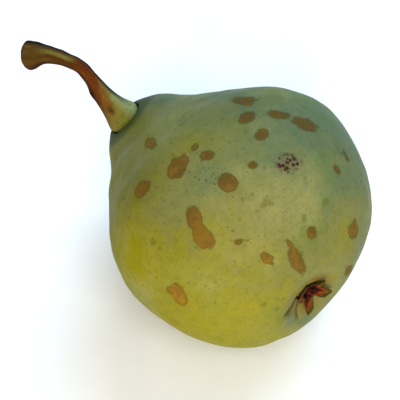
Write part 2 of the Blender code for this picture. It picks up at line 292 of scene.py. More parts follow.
def beside_line(pixels, line):
    """Distance in pixels to a line of points, with its sign by side, and the share of the line's length
    passed."""
    best = np.full(pixels.shape[:-1], np.inf)
    passed = np.zeros_like(best)
    run = run_along(line)
    for start, end, begun, done in zip(line, line[1:], run, run[1:]):
        step = end - start
        share = np.clip(((pixels - start) @ step) / (step @ step), 0.0, 1.0)
        off = pixels - start - share[..., None] * step
        side = np.sign(off[..., 0] * step[1] - off[..., 1] * step[0])
        near = np.linalg.norm(off, axis=-1)
        closer = near < np.abs(best)
        best = np.where(closer, near * side, best)
        passed = np.where(closer, (begun + share * (done - begun)) / run[-1], passed)
    return best, passed


along_rows = np.gradient(plain, axis=0)
round_columns = np.roll(plain, -1, axis=1) - np.roll(plain, 1, axis=1)
facing = unit(np.cross(round_columns, along_rows) + POLE_GUARD)
facing = facing * np.sign((facing * (plain - PHOTO_POINT)).sum(axis=-1).mean())
seen = (facing @ BACK) > SEEN_SLANT
pixels = photo_pixels(plain)


def pressed(line, seed, wander, starts, fades):
    """How deep the skin is pressed in along a line of photograph pixels, as a share: a bell across the line,
    which wanders a little sideways, starts between two shares of its length and fades between two more. The
    second field is the same for the lip beside the line."""
    beside, passed = beside_line(pixels, line)
    beside = beside / PHOTO_SCALE + wander * waves(plain, seed, CREASE_WANDER)
    run = ease(passed, *starts) * (1.0 - ease(passed, *fades)) * (seen & (along < CREASE_REACH * LENGTH))
    return bell(beside, CREASE_WIDTH) * run, bell(beside + LIP_BESIDE, LIP_WIDTH) * run


crease, lips = pressed(CREASE, 5, 0.12 * MM, (-0.1, 0.05), (0.5, 1.0))
fold, _ = pressed(FOLD, 6, 0.10 * MM, (-0.1, 0.1), (0.6, 1.0))
relief = sum(height * waves(plain, seed, length) for seed, length, height in RIPPLES) - RIPPLES_SUNK
inward = relief * ease(radius, *RIPPLES_START) - CREASE_DEPTH * crease - FOLD_DEPTH * fold
body_grid = plain + facing * inward[..., None]
body_grid[..., 2] = np.clip(body_grid[..., 2], 0.0, None)

# Russet marks
# Corky brown patches that grew over rubs in the skin and are part of it, and specks and faint smudges in its
# wax. They are laid over the skin as depths inside ellipses, which the skin's material gives a ragged edge.

# Each has the photograph pixel of its middle, its half length and half width in pixels, and the tilt of its
# length from the picture's level, anticlockwise in degrees.
MARKS = (
    ("top bar", 274.6, 51.1, 4.9, 2.0, 0),
    ("top leaf", 276.0, 58.3, 4.2, 2.4, 22),
    ("top dash", 289.3, 57.2, 4.8, 1.8, -6),
    ("right wing", 300.9, 61.2, 5.8, 2.5, -17),
    ("wing foot", 282.4, 65.6, 3.0, 2.1, 25),
    ("neck dot", 235.1, 69.4, 2.3, 2.2, 30),
    ("dim dot", 253.8, 71.0, 1.8, 1.2, 50),
    ("tear's mate", 258.9, 74.7, 3.1, 2.1, 8),
    ("tear", 245.9, 80.2, 5.2, 3.8, 62),
    ("tear's tip", 249.0, 76.6, 2.6, 1.9, 80),
    ("small middle dot", 278.6, 78.7, 2.1, 1.6, 10),
    ("left oval", 231.3, 88.8, 4.3, 2.6, 55),
    ("middle round", 267.7, 86.3, 4.4, 3.9, -30),
    ("upper blot", 253.2, 101.4, 5.4, 3.4, -72),
    ("lower blot", 257.2, 109.9, 5.4, 3.8, -50),
    ("blot's waist", 255.0, 105.8, 3.4, 2.7, -65),
    ("low dot", 284.3, 118.2, 2.8, 2.2, -30),
    ("low tail", 286.3, 120.8, 2.0, 0.9, -50),
    ("long flame", 297.2, 119.6, 6.0, 3.0, -62),
    ("flame's upper edge", 294.6, 113.5, 3.6, 1.0, -66),
    ("right pip", 303.8, 107.1, 3.0, 1.9, -68),
    ("edge bar", 321.7, 106.4, 4.0, 1.8, 86),
    ("edge dash", 314.8, 80.8, 2.6, 1.2, -62),
    ("faint dash", 318.3, 74.6, 2.0, 0.7, -60),
    ("rim patch", 319.8, 123.8, 2.2, 1.3, 60),
    ("low left flame", 247.0, 134.2, 5.0, 2.6, -62),
    ("low left wing", 244.3, 132.0, 2.6, 1.5, 0),
    ("crumb", 272.3, 111.6, 1.4, 1.1, 10),
)
SPECKS = (("dark cluster", 293.6, 78.1, 6.0, 4.3, 0),)
FRECKLES = (
    ("freckles by the tear", 257.0, 84.0, 11.0, 6.5, -55),
    ("freckles in the middle", 272.0, 107.0, 10.0, 5.0, -30),
)
SMUDGES = (
    ("middle smudge", 284.6, 94.8, 3.6, 2.4, 20),
    ("high smudge", 300.4, 101.9, 1.4, 2.2, 0),
    ("crumbs", 272.8, 111.5, 3.0, 1.5, 0),
    ("low smudge", 288.7, 140.2, 2.4, 1.5, 20),
    ("left smudge", 236.0, 112.0, 1.6, 2.2, 0),
    ("right smudge", 309.5, 95.0, 1.6, 2.2, 0),
    ("rim smudge", 319.5, 123.7, 1.6, 2.6, 30),
    ("neck smudge", 249.0, 60.0, 3.0, 1.4, 20),
    ("scratch", 250.7, 91.4, 3.6, 0.8, -66),
    ("low belly smudge", 283.0, 138.5, 1.8, 1.2, 30),
)
FAR_OUTSIDE = -9.0  # the depth where no mark is near

# The side that the camera doesn't see has marks of its own, laid at random.
HIDDEN_MARKS = 16
HIDDEN_ROWS = (0.15, 0.85)
HIDDEN_HALF_LENGTHS = (1.2, 2.8)  # millimetres
HIDDEN_WIDTH_SHARES = (0.45, 0.9)
HIDDEN_LOWEST = 6.0 * MM
HIDDEN_TURN = 9.0  # radians a millimetre of half length, so that each lies its own way

# Broad patches of the skin's colour, laid out as the marks are: then how much more ripe the skin is there,
# and how much paler with wax. Most are the skin's own colour; five are painted light and shade: the neck made
# paler by painted light, painted shade on the left edge and on the top of the neck, a grey painted shade
# beside the crease and a green painted shadow below the calyx.
PATCH_SLANTS = (-0.1, 0.3)  # the slants to the camera between which the patches fade in
PATCHES = (
    # painted light: the neck made paler and yellower where light falls on it
    ("neck paled with painted light", 237.0, 69.0, 17.0, 11.0, 15, 0.35, 0.55),
    # painted shade: the left edge made a deeper yellow without sheen, as it looks in shade
    ("left edge yellowed with painted shade", 218.5, 84.0, 13.0, 5.0, 85, 0.65, 0.0),
    ("waxy saddle", 257.0, 86.0, 18.0, 9.0, 40, -0.40, 0.25),
    ("green left flank", 232.0, 98.0, 13.0, 10.0, 30, -0.10, -0.05),
    ("yellow left cheek", 224.0, 116.0, 14.0, 8.0, -70, 0.35, -0.1),
    ("pale middle", 285.0, 100.0, 16.0, 11.0, 10, -0.05, 0.25),
    ("waxy shoulder", 296.0, 84.0, 20.0, 12.0, 0, -0.15, 0.22),
    # painted shade: the top rim of the neck made darker green
    ("top of the neck darkened with painted shade", 240.0, 49.0, 9.0, 4.0, 5, -0.50, -0.3),
    ("yellow right flank", 318.0, 108.0, 14.0, 7.0, 75, 0.35, 0.1),
    ("yellow low belly", 272.0, 140.0, 20.0, 12.0, 0, 0.15, 0.1),
    # painted shade: a darker grey-green patch beside the crease
    ("grey painted shade by the crease", 296.0, 142.8, 5.5, 2.0, 63, -0.75, 0.15),
    # painted shadow: darker green below the calyx
    ("green painted shadow below the calyx", 302.0, 144.5, 5.0, 3.0, 45, -0.45, -0.3),
)


def mark_depth(across, down, half_length, half_width, tilt):
    """Depth inside an ellipse, in pixels: 0 on its edge, its half width in its middle and negative outside
    it."""
    turn = np.radians(tilt)
    lengthways = across * np.cos(turn) - down * np.sin(turn)
    widthways = across * np.sin(turn) + down * np.cos(turn)
    return (1.0 - np.hypot(lengthways / half_length, widthways / half_width)) * half_width


def marks_field(marks):
    """The greatest depth in any mark, in millimetres, over the side that the camera sees."""
    depth = np.full(seen.shape, FAR_OUTSIDE)
    for _, across, down, half_length, half_width, tilt in marks:
        found = mark_depth(pixels[..., 0] - across, pixels[..., 1] - down, half_length, half_width, tilt)
        depth = np.where(seen, np.maximum(depth, found), depth)
    return depth / (PHOTO_SCALE * MM)


# The patches' ripeness and wax carry their painted light and shade along with the skin's own colour.
riper_and_painted_light = np.zeros(seen.shape)
waxier_and_painted_light = np.zeros(seen.shape)
for _, across, down, half_length, half_width, tilt, more_ripe_and_light, more_wax_and_light in PATCHES:
    depth = mark_depth(pixels[..., 0] - across, pixels[..., 1] - down, half_length, half_width, tilt)
    share = bell(1.0 - depth / half_width, 1.0) * ease(facing @ BACK, *PATCH_SLANTS)
    riper_and_painted_light = riper_and_painted_light + more_ripe_and_light * share
    waxier_and_painted_light = waxier_and_painted_light + more_wax_and_light * share

russet = marks_field(MARKS)
draw = np.random.default_rng(11)
for _ in range(HIDDEN_MARKS):
    row = draw.integers(*(int(share * BODY_ROWS) for share in HIDDEN_ROWS))
    column = draw.integers(BODY_COLUMNS)
    half_length = draw.uniform(*HIDDEN_HALF_LENGTHS)
    half_width = half_length * draw.uniform(*HIDDEN_WIDTH_SHARES)
    middle = body_grid[row, column]
    if seen[row, column] or middle[2] < HIDDEN_LOWEST:
        continue
    turn = half_length * HIDDEN_TURN
    lengthways = unit(along_rows[row, column]) * np.cos(turn)
    lengthways = unit(lengthways + unit(round_columns[row, column]) * np.sin(turn))
    off = (body_grid - middle) / MM
    near = np.linalg.norm(off, axis=-1)
    run = off @ lengthways
    beside = np.sqrt(np.clip(near**2 - run**2, 0.0, None))
    russet = np.maximum(russet, (1.0 - np.hypot(run / half_length, beside / half_width)) * half_width)

# The painted shade in the hollow round the stem's foot and the stained basin round the calyx: the radii
# between which each fades, and the share of the length from which the shade, or up to which the basin, is
# drawn.
HOLLOW_EDGE = (4.3 * MM, 8.0 * MM)
HOLLOW_REACH = (0.0, 4.0 * MM)  # distances short of the stem end
HOLLOW_FROM = 0.6
BASIN_EDGE = (3.0 * MM, 9.0 * MM)
BASIN_TO = 0.2

outside_hollow = ease(radius, *HOLLOW_EDGE) * ease(LENGTH - along, *HOLLOW_REACH)
skin_fields = {
    "russet": russet,
    "specks": marks_field(SPECKS),
    "freckled": marks_field(FRECKLES),
    "smudges": marks_field(SMUDGES),
    "riper_and_painted_light": riper_and_painted_light,
    "waxier_and_painted_light": waxier_and_painted_light,
    "lips": lips,
    # darker along the crease and the fold: partly the skin's own brown line, partly painted shade in the
    # groove
    "crease": np.maximum(crease, FOLD_SHADE * fold),
    "hollow": (1.0 - outside_hollow) * (along > HOLLOW_FROM * LENGTH),
    "basin": (1.0 - ease(radius, *BASIN_EDGE)) * (along < BASIN_TO * LENGTH),
}
pear_skin = skinned("pear_skin", body_grid, skin_fields)
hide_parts("body")
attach(pear_skin, "root")


def linear(code):
    """The linear colour of an sRGB hex value."""
    parts = np.array([int(code[i:i + 2], 16) / 255.0 for i in (1, 3, 5)])
    straight = np.where(parts <= 0.04045, parts / 12.92, ((parts + 0.055) / 1.055) ** 2.4)
    return (*straight.tolist(), 1.0)


def blank_material(name):
    """A new material and its empty node tree."""
    material = bpy.data.materials.new(name)
    material.use_nodes = True
    material.node_tree.nodes.clear()
    return material, material.node_tree


def add(tree, kind, inputs=None, out=0, stops=(), **settings):
    """Adds a node and gives one of its outputs. settings are the node's own; inputs go to its sockets, by
    place or by name, each a value or another node's output; stops are a colour ramp's places and colours."""
    node = tree.nodes.new("ShaderNode" + kind)
    for label, value in settings.items():
        setattr(node, label, value)
    for socket, value in (inputs or {}).items():
        if isinstance(value, bpy.types.NodeSocket):
            tree.links.new(value, node.inputs[socket])
        else:
            node.inputs[socket].default_value = value
    if stops:
        node.color_ramp.interpolation = "EASE"
        shades = node.color_ramp.elements
        shades.remove(shades[-1])
        shades[0].position = stops[0][0]
        shades[0].color = linear(stops[0][1])
        for position, colour in stops[1:]:
            shades.new(position).color = linear(colour)
    return node.outputs[out] if node.outputs else None


def stirred(tree, value, swings):
    """value + size x (cloud - 0.5) for each cloud and size."""
    value = add(tree, "Math", {0: value, 1: 0.5 * sum(size for _, size in swings)}, operation="SUBTRACT")
    for cloud, size in swings:
        value = add(tree, "Math", {0: cloud, 1: size, 2: value}, operation="MULTIPLY_ADD")
    return value


def layered(tree, colour, layers):
    """colour under layers of paint, each a value, a start, an end, a strength and a paint: the paint fades in
    as the value goes from the start to the end, up to the strength."""
    for value, start, end, strength, paint in layers:
        band = {"Value": value, "From Min": start, "From Max": end, "To Max": strength}
        amount = add(tree, "MapRange", band, interpolation_type="SMOOTHSTEP")
        colour = add(tree, "Mix", {0: amount, 6: colour, 7: linear(paint)}, out=2, data_type="RGBA")
    return colour


def dots(tree, place, spacing, size, share):
    """Round dots, at most one to a cell spacing wide: size is a dot's radius in cells, and share of the cells
    have one."""
    cell = {"Vector": place, "Scale": 1.0 / spacing}
    distance = add(tree, "TexVoronoi", cell, out="Distance")
    chance = add(tree, "SeparateColor", {0: add(tree, "TexVoronoi", cell, out="Color")})
    chosen = {"Value": chance, "From Min": 0.95 - share, "From Max": 1.05 - share}  # a soft limit
    chosen = add(tree, "MapRange", chosen, interpolation_type="SMOOTHSTEP")
    disc = {"Value": distance, "From Min": size, "From Max": 0.5 * size, "To Max": chosen}
    return add(tree, "MapRange", disc, interpolation_type="SMOOTHSTEP")


# Waxy pear skin: chlorophyll green under a thin wax, yellower where it ripens, with pores as fine dots. Its
# yellowing towards the picture's lower side is partly its own ripening and partly painted light, standing in
# for the warm key from below. The wax gives a faint broad gloss, the flesh under it a little glow, and the
# russet is dull cork.
RIPE_AND_LIT_SIDE = -0.66 * RIGHT - 0.75 * UP  # towards the riper side
RIPE_AND_LIT_SLOPE = 13.0  # per metre towards that side
RIPE_MIDDLE = 0.60
FLESH_COLOURS = ((0.0, "#5E6B4E"), (0.35, "#727345"), (0.65, "#7A772A"), (1.0, "#7D7806"))  # unripe to ripe
CORK_COLOURS = ((0.1, "#5E4A22"), (0.45, "#725824"), (0.9, "#8A6A27"))
CLOUDS = {  # the width of the blotches, their detail and how rough that is
    "broad": (26.0 * MM, 3.0, 0.55),
    "waxy": (20.8 * MM, 4.0, 0.62),
    "green": (18.2 * MM, 3.0, 0.55),
    "patchy": (11.1 * MM, 5.0, 0.65),
    "middling": (6.7 * MM, 4.0, 0.60),
    "small": (2.4 * MM, 4.0, 0.60),
    "grainy": (1.9 * MM, 5.0, 0.75),
    "fine": (0.9 * MM, 4.0, 0.65),
}
# Dots: their spacing, their radius in cells and the share of the cells that have one. Real pores are finer
# and would not show, so the pores are drawn as coarse as they need to show.
PORE_DOTS = (1.15 * MM, 0.24, 0.85)
LENTICEL_DOTS = (3.3 * MM, 0.20, 0.5)
FRECKLE_DOTS = (1.0 * MM, 0.42, 0.5)
SPECK_DOTS = (0.87 * MM, 0.72, 0.85)

skin, tree = blank_material("waxy pear skin")
place = add(tree, "TexCoord", out="Object")
own = {label: add(tree, "Attribute", out="Fac", attribute_name=label) for label in skin_fields}
cloud = {}
for label, (width, detail, roughness) in CLOUDS.items():
    settings = {"Vector": place, "Scale": 1.0 / width, "Detail": detail, "Roughness": roughness}
    cloud[label] = add(tree, "TexNoise", settings)
# The ripeness rises towards the picture's lower side: partly real ripening, partly painted light from the key
# below.
ripeness_and_painted_light = add(tree, "VectorMath", {0: place, 1: RIPE_AND_LIT_SIDE.tolist()}, out="Value", operation="DOT_PRODUCT")
ripeness_and_painted_light = add(tree, "Math", {0: ripeness_and_painted_light, 1: RIPE_AND_LIT_SLOPE, 2: RIPE_MIDDLE}, operation="MULTIPLY_ADD")
# the patches' ripeness, which includes painted light and shade, is added here
ripeness_and_painted_light = add(tree, "Math", {0: ripeness_and_painted_light, 1: own["riper_and_painted_light"]}, operation="ADD")
ripeness_and_painted_light = stirred(tree, ripeness_and_painted_light, ((cloud["broad"], 0.60), (cloud["patchy"], 0.75), (cloud["small"], 0.45)))
flesh = add(tree, "ValToRGB", {0: ripeness_and_painted_light}, stops=FLESH_COLOURS)
flesh = layered(tree, flesh, [(cloud["green"], 0.52, 0.70, 0.45, "#5C6E30")])
wax = {"Value": cloud["waxy"], "From Min": 0.46, "From Max": 0.72, "To Max": 0.55}
wax = add(tree, "MapRange", wax, interpolation_type="SMOOTHSTEP")
# the patches' wax, which includes painted light and shade, is added here
wax = add(tree, "Math", {0: wax, 1: own["waxier_and_painted_light"]}, operation="ADD", use_clamp=True)
flesh = add(tree, "Mix", {0: wax, 6: flesh, 7: linear("#8D8B5C")}, out=2, data_type="RGBA")

pores = dots(tree, place, *PORE_DOTS)
freckled = {"Value": own["freckled"], "From Min": -0.6, "From Max": 1.4, "To Max": 0.5}
freckled = add(tree, "MapRange", freckled, interpolation_type="SMOOTHSTEP")
specked = stirred(tree, own["specks"], [(cloud["small"], 2.2)])
specked = {"Value": specked, "From Min": -0.5, "From Max": 0.8, "To Max": 0.9}
specked = add(tree, "MapRange", specked, interpolation_type="SMOOTHSTEP")
ragged = stirred(tree, own["russet"], ((cloud["middling"], 0.9), (cloud["small"], 1.5), (cloud["fine"], 0.7)))
cork = {"Value": ragged, "From Min": -0.28, "From Max": 0.45}
cork = add(tree, "MapRange", cork, interpolation_type="SMOOTHSTEP")
cork_shade = add(tree, "Math", {0: ripeness_and_painted_light, 1: 0.75}, operation="MULTIPLY")
cork_shade = stirred(tree, cork_shade, ((cloud["small"], 0.7), (cloud["fine"], 0.5)))
cork_colour = add(tree, "ValToRGB", {0: cork_shade}, stops=CORK_COLOURS)
cork_edge = add(tree, "Math", {0: 1.0, 1: cork}, operation="SUBTRACT")
cork_edge = add(tree, "Math", {0: cork, 1: cork_edge}, operation="MULTIPLY")
stain = {"Value": cloud["middling"], "From Min": 0.38, "From Max": 0.62, "To Max": 0.7}
stain = add(tree, "MapRange", stain, interpolation_type="SMOOTHSTEP")

surface = layered(tree, flesh, (
    (cloud["grainy"], 0.44, 0.66, 0.28, "#565E28"),
    (pores, 0.0, 1.0, 0.42, "#465020"),
    (dots(tree, place, *LENTICEL_DOTS), 0.0, 1.0, 0.35, "#4F5822"),
    (dots(tree, place, *FRECKLE_DOTS), 0.0, 1.0, freckled, "#3F431C"),
    (stirred(tree, own["smudges"], ((cloud["small"], 2.4), (cloud["fine"], 2.0))), 0.0, 0.5, 0.42, "#56541A"),
))
cork_cover = add(tree, "Math", {0: cork, 1: 0.93}, operation="MULTIPLY")
surface = add(tree, "Mix", {0: cork_cover, 6: surface, 7: cork_colour}, out=2, data_type="RGBA")
surface = layered(tree, surface, (
    (cork_edge, 0.0, 0.25, 0.45, "#4C3E18"),
    (own["specks"], -0.6, 1.4, 0.35, "#5C4638"),
    (dots(tree, place, *SPECK_DOTS), 0.0, 1.0, specked, "#3E2020"),
    (own["lips"], 0.1, 0.8, 0.42, "#806E4A"),
    # darker brown along the crease and the fold: partly the skin's own brown line, partly painted shade in
    # the groove
    (own["crease"], 0.3, 0.9, 0.8, "#4E3C28"),
    # painted shade: the hollow round the stem's foot darkened
    (own["hollow"], 0.0, 1.0, 0.72, "#2E4026"),
    (own["basin"], 0.0, 1.0, stain, "#6E5A2A"),
))

cork_relief = add(tree, "Math", {0: cloud["fine"], 1: 0.9, 2: 0.2}, operation="MULTIPLY_ADD")
height = 0.0
for value, size in ((cloud["fine"], 0.6), (cloud["small"], 0.5), (pores, -0.35), (cork, cork_relief)):
    height = add(tree, "Math", {0: value, 1: size, 2: height}, operation="MULTIPLY_ADD")
bump = add(tree, "Bump", {"Height": height, "Strength": 0.35, "Distance": 0.12 * MM})
dullness = add(tree, "Math", {0: cloud["middling"], 1: 0.12, 2: 0.44}, operation="MULTIPLY_ADD")
dullness = add(tree, "Math", {0: cork, 1: 0.25, 2: dullness}, operation="MULTIPLY_ADD")
shader = add(tree, "BsdfPrincipled", {
    "Base Color": surface,
    "Roughness": dullness,
    "Normal": bump,
    "IOR": 1.42,
    "Specular IOR Level": 0.07,
    "Subsurface Weight": 0.1,
    "Subsurface Radius": (1.0, 0.9, 0.3),
    "Subsurface Scale": 1.2 * MM,
})
add(tree, "OutputMaterial", {"Surface": shader})
pear_skin.data.materials.append(skin)

# Stem
# The stalk that held the fruit on the tree, grown as one with it: green and fleshy at its foot, woody and
# brown beyond, with the scar of a bud on one side and a thick end where it came away from the spur.
STEM_FOOT_DEPTH = 2.1 * MM
STEM_SEAT_DEPTH = 0.5 * MM
STEM_ROUTE = (  # millimetres from the seat
    (-2.1, -1.3, 2.5), (-5.3, -2.5, 5.5), (-7.9, -3.0, 7.7), (-12.6, -4.3, 10.9), (-17.1, -6.9, 12.0),
    (-20.2, -9.1, 12.0), (-24.2, -12.6, 10.4),
)
STEM_GIRTH = (  # distance from the foot and radius, in millimetres
    (0.0, 3.9), (1.6, 4.4), (2.6, 4.45), (4.2, 3.9), (7.0, 3.05), (11.0, 2.35), (14.0, 1.95), (19.0, 1.85),
    (25.0, 2.0), (29.0, 2.7), (32.3, 3.75), (33.4, 3.85), (34.0, 3.4),
)
STEM_GIRTH_STEPS = 300
STEM_END = (  # share of the radius, millimetres proud
    (0.97, 0.12), (0.88, 0.18), (0.6, -0.15), (0.3, -0.35), (0.0, -0.4),
)
STEM_TURN = (1.5 * MM, 6.0 * MM)  # the stretch in which the stem turns from the mouth's aim to its own
MOUTH_AIM_SHARE = 0.37
KNUCKLE_AT = 12.0 * MM
KNUCKLE_REACH = 1.8 * MM
KNUCKLE_HEIGHT = 0.7 * MM
KNUCKLE_AIM = (0.16, -0.87, -0.47)
STEM_SIDE = (0.47, -0.35, 0.81)
STEM_RIDGES = ((7, 5.0, 0.0, 0.5), (13, -9.0, 1.0, 0.3), (23, 14.0, 0.0, 0.3))  # count, twist, start, share
STEM_RIDGE_HEIGHT = 0.07 * MM
STEM_WOODY = (0.15, 0.4)
STEM_LUMP_HEIGHT = 0.08 * MM
STEM_LUMP_LENGTH = 4.0 * MM
STEM_GRAIN_RADIUS = 2.0 * MM
STEM_GRAIN_STRETCH = 9.0  # the streaks of the bark are this many times longer than wide
FOOT_SPOT = ("foot spot", 218.9, 55.4, 2.0, 1.1, -55)  # as a russet mark
NO_SPOT = -5.0
STEM_ROWS = 240
STEM_COLUMNS = 96

foot = placed(LENGTH - STEM_FOOT_DEPTH, 0.0, 0.0)
seat = placed(LENGTH - STEM_SEAT_DEPTH, 0.0, 0.0)
route = smooth_through([foot, seat, *(seat + np.array(STEM_ROUTE) * MM)], STEM_ROWS)
stem_run = run_along(route)
run, _, *fields = CORE
core_aim, sideways, upward = (sample(LENGTH, run, field) for field in fields)
mouth_side = sideways * np.cos(MOUTH_LEAN_TOWARDS) + upward * np.sin(MOUTH_LEAN_TOWARDS)
mouth = unit(core_aim + MOUTH_AIM_SHARE * mouth_side)
stem_aim = unit(np.gradient(route, axis=0))
stem_aim = unit(mouth + (stem_aim - mouth) * ease(stem_run, *STEM_TURN)[:, None])
side = unit(STEM_SIDE - (stem_aim @ np.array(STEM_SIDE))[:, None] * stem_aim)
stem_around = np.linspace(0.0, 2.0 * np.pi, STEM_COLUMNS, endpoint=False)[None, :, None]
outward = side[:, None] * np.cos(stem_around) + np.cross(stem_aim, side)[:, None] * np.sin(stem_around)
girth = smooth_through(np.array(STEM_GIRTH) * MM, STEM_GIRTH_STEPS)
stem_radius = np.interp(stem_run, girth[:, 0] * stem_run[-1] / girth[-1, 0], girth[:, 1])[:, None]
knuckle = np.clip(outward @ unit(KNUCKLE_AIM), 0.0, None) ** 2
knuckle = knuckle * bell(stem_run[:, None] - KNUCKLE_AT, KNUCKLE_REACH)
stem_share = (stem_run / stem_run[-1])[:, None]
# The stem's side towards the top of the picture, square to the camera's view: the bark uses it to lay painted
# light on the foot's upper side and painted shade along the stem's upper and lower edges.
upper = np.cross(BACK, stem_aim)
upper = unit(upper * np.sign(upper @ UP)[:, None])
turn = stem_around[..., 0]
ridges = np.zeros((STEM_ROWS, STEM_COLUMNS))
for count, twist, start, share in STEM_RIDGES:
    ridges = ridges + share * np.sin(count * turn + twist * stem_share + start)
stem_radius = stem_radius + KNUCKLE_HEIGHT * knuckle
stem_radius = stem_radius + STEM_RIDGE_HEIGHT * (ridges - 1.0) * ease(stem_share, *STEM_WOODY)
lumps = waves(route[:, None] + outward * stem_radius[..., None], 8, STEM_LUMP_LENGTH) - 1.0
stem_radius = stem_radius + STEM_LUMP_HEIGHT * lumps
stem_rings = [route[0] + 0.0 * outward[:1], route[:, None] + outward * stem_radius[..., None]]
for share, proud in STEM_END:
    ring = outward[-1] * stem_radius[-1][:, None] * share
    stem_rings.append((route[-1] + stem_aim[-1] * proud * MM + ring)[None])
stem_grid = np.concatenate(stem_rings)

stem_pixels = photo_pixels(stem_grid[1:1 + STEM_ROWS])
_, across, down, *ellipse = FOOT_SPOT
foot_spot = mark_depth(stem_pixels[..., 0] - across, stem_pixels[..., 1] - down, *ellipse)
foot_spot = np.where(outward @ BACK > 0.0, foot_spot, NO_SPOT) / (PHOTO_SCALE * MM)


def with_ends(field, at_end):
    """A field over the stem's rows, with its first row doubled for the foot, and at_end over its end's
    rings."""
    field = np.broadcast_to(field, (STEM_ROWS, STEM_COLUMNS))
    return np.vstack([field[:1], field, np.broadcast_to(at_end, (len(STEM_END), STEM_COLUMNS))])


to_middle = np.linspace(0.0, 1.0, len(STEM_END))[:, None]  # from the edge of the cut end to its middle
stem_fields = {
    "along": with_ends(stem_share, 1.0),
    "upper": with_ends((outward * upper[:, None]).sum(axis=-1), 0.0),
    "spot": with_ends(foot_spot, NO_SPOT),
    "knuckle": with_ends(knuckle, 0.0),
    "cut": with_ends(0.0, 0.5 + 0.5 * to_middle),
    "grain_across": with_ends(STEM_GRAIN_RADIUS * np.cos(turn), 0.0),
    "grain_over": with_ends(STEM_GRAIN_RADIUS * np.sin(turn), STEM_GRAIN_RADIUS * (1.0 - to_middle)),
    "grain_run": with_ends(stem_run[:, None] / STEM_GRAIN_STRETCH, stem_run[-1] / STEM_GRAIN_STRETCH),
}
pear_stem = skinned("pear_stem", stem_grid, stem_fields)
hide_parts("stem")
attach(pear_stem, "root")

# Stem bark: thin brown cork over green wood, which gives a dull surface with fine lengthways streaks. Its
# upper side is green near the end. At the foot its upper side is made paler with painted light, and its upper
# and lower edges, as the camera sees them, are darkened with painted shade. Real fibres are finer than the
# fibres and streaks here and would not show, so these are drawn as coarse as they need to show.
BLOTCH_WIDTH = 3.0 * MM
FIBRE_WIDTH = 0.67 * MM
STREAK_WIDTH = 0.8 * MM
WOOD_COLOURS = (  # from the foot to the end
    (0.0, "#7C7E34"), (0.15, "#787436"), (0.27, "#684A1C"), (0.40, "#5C300A"), (0.58, "#582C09"),
    (0.72, "#4C2E0A"), (0.86, "#48320C"), (1.0, "#46320A"),
)
WOOD_STRETCHES = (  # where along the stem a paint starts, is at its full, and how strong that is
    ("foot", 0.42, 0.12, 0.8), ("bark", 0.12, 0.34, 0.55), ("stripe", 0.58, 0.69, 0.85),
    ("ridge", 0.58, 0.70, 0.9), ("upper edge", 0.06, 0.30, 0.9), ("lower edge", 0.12, 0.30, 0.7),
)

bark, tree = blank_material("stem bark")
place = add(tree, "TexCoord", out="Object")
own = {label: add(tree, "Attribute", out="Fac", attribute_name=label) for label in stem_fields}
blotches = add(tree, "TexNoise", {
    "Vector": place, "Scale": 1.0 / BLOTCH_WIDTH, "Detail": 4.0, "Roughness": 0.6,
})
fibres = add(tree, "TexNoise", {
    "Vector": place, "Scale": 1.0 / FIBRE_WIDTH, "Detail": 3.0, "Roughness": 0.6,
})
grain = add(tree, "CombineXYZ", {0: own["grain_across"], 1: own["grain_over"], 2: own["grain_run"]})
streaks = add(tree, "TexNoise", {
    "Vector": grain, "Scale": 1.0 / STREAK_WIDTH, "Detail": 4.0, "Roughness": 0.7,
})
stretch = {}
for label, start, end, strength in WOOD_STRETCHES:
    band = {"Value": own["along"], "From Min": start, "From Max": end, "To Max": strength}
    stretch[label] = add(tree, "MapRange", band, interpolation_type="SMOOTHSTEP")
zone = add(tree, "Math", {0: own["upper"], 1: -0.10, 2: own["along"]}, operation="MULTIPLY_ADD")
wood = add(tree, "ValToRGB", {0: stirred(tree, zone, [(blotches, 0.22)])}, stops=WOOD_COLOURS)
wood = layered(tree, wood, (
    # painted light: the foot's upper side made paler
    (own["upper"], 0.0, 0.8, stretch["foot"], "#868E66"),
    (own["spot"], -0.5, 0.7, 0.85, "#3C2C08"),
    (stirred(tree, own["upper"], [(blotches, 0.5)]), -0.25, 0.15, stretch["stripe"], "#716C38"),
    (own["upper"], 0.35, 0.60, stretch["ridge"], "#4C2C10"),
    (own["along"], 0.78, 0.90, 0.9, "#503A14"),
    (streaks, 0.50, 0.72, stretch["bark"], "#32200C"),
    (streaks, 0.46, 0.28, 0.30, "#8A7440"),
    # painted shade: the stem's upper and lower edges, as the camera sees them, darkened
    (own["upper"], 0.66, 0.93, stretch["upper edge"], "#0E0903"),
    (own["upper"], -0.70, -0.98, stretch["lower edge"], "#2A1006"),
    (own["knuckle"], 0.25, 0.75, 0.9, "#200705"),
    (fibres, 0.52, 0.75, 0.4, "#2A1A0A"),
    (own["cut"], 0.0, 1.0, 0.6, "#3C2A10"),
))
height = add(tree, "Math", {0: fibres, 1: streaks}, operation="ADD")
bump = add(tree, "Bump", {"Height": height, "Strength": 0.6, "Distance": 0.2 * MM})
finish = {"Base Color": wood, "Roughness": 0.72, "Normal": bump, "Specular IOR Level": 0.1}
add(tree, "OutputMaterial", {"Surface": add(tree, "BsdfPrincipled", finish)})
pear_stem.data.materials.append(bark)

